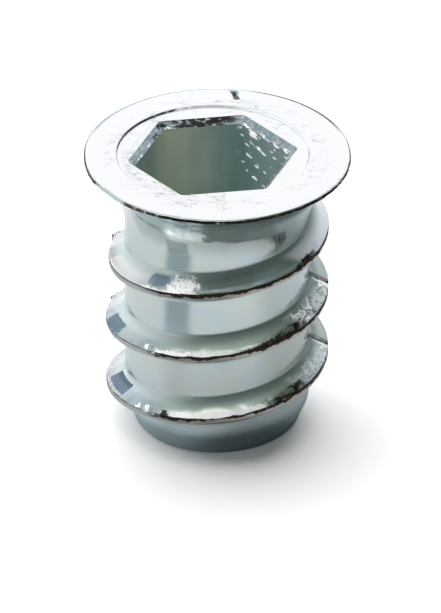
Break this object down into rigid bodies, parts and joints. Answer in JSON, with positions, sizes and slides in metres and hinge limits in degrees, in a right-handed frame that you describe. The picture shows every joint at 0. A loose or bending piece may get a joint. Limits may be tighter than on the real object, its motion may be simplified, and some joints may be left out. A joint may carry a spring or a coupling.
{
  "type": "threaded insert",
  "caption": "Die-cast threaded insert for wood with a coarse outer thread, a thin flange, a hexagon drive socket and a tapped bore.",
  "frame": {"origin": "centre of the nose face, on the axis", "axes": "+Z along the axis from the nose to the flange; the die's parting plane is Y = 0"},
  "size_m": [0.016, 0.016, 0.018],
  "materials": {
    "zinc_casting": "zinc die casting, zinc plated and blue passivated, bright with a satin body"
  },
  "bodies": {
    "root": {"insert": "zinc_casting"}
  },
  "joints": []
}
